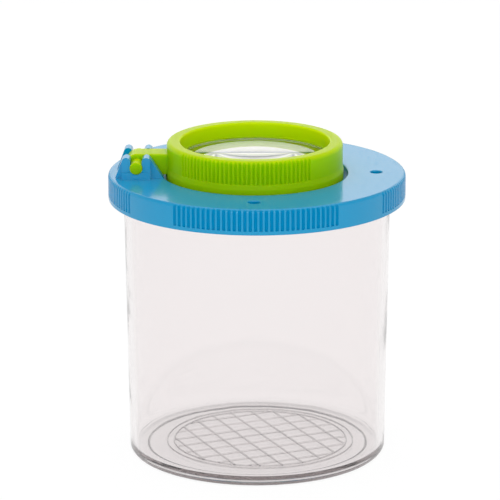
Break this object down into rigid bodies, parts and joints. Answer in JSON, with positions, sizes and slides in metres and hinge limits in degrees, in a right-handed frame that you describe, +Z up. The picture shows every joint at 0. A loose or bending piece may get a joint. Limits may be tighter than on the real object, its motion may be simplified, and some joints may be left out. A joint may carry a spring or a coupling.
{
  "type": "bug magnifier box",
  "caption": "Clear insect viewing cup with a measuring grid in its floor, a press-on lid with air holes and a fixed lens, and a loupe that flips up on a hinge.",
  "frame": {"origin": "middle of the flat foot of the cup, on the surface it stands on", "axes": "+Z up along the cup's axis, -X towards the hinge of the loupe, -Y towards the front in the picture"},
  "size_m": [0.0706, 0.0706, 0.0761],
  "materials": {
    "cup_clear": "clear moulded polystyrene, polished",
    "lens_clear": "clear moulded lens, polished",
    "lid_blue": "glossy sky blue, moulded",
    "loupe_green": "satin apple green, moulded"
  },
  "bodies": {
    "cup": {"cup": "cup_clear"},
    "lid": {"lid": "lid_blue", "lid_lens": "lens_clear"},
    "loupe": {"loupe_ring": "loupe_green", "loupe_lens": "lens_clear"}
  },
  "joints": [
    {"name": "lid_lift", "type": "slide", "parent": "cup", "child": "lid", "axis": [0, 0, 1], "range_m": [0, 0.03]},
    {"name": "loupe_flip", "type": "hinge", "parent": "lid", "child": "loupe", "pos_m": [-0.02825, -0.0015, 0.0712], "axis": [0, -1, 0], "range_deg": [0, 175]}
  ]
}
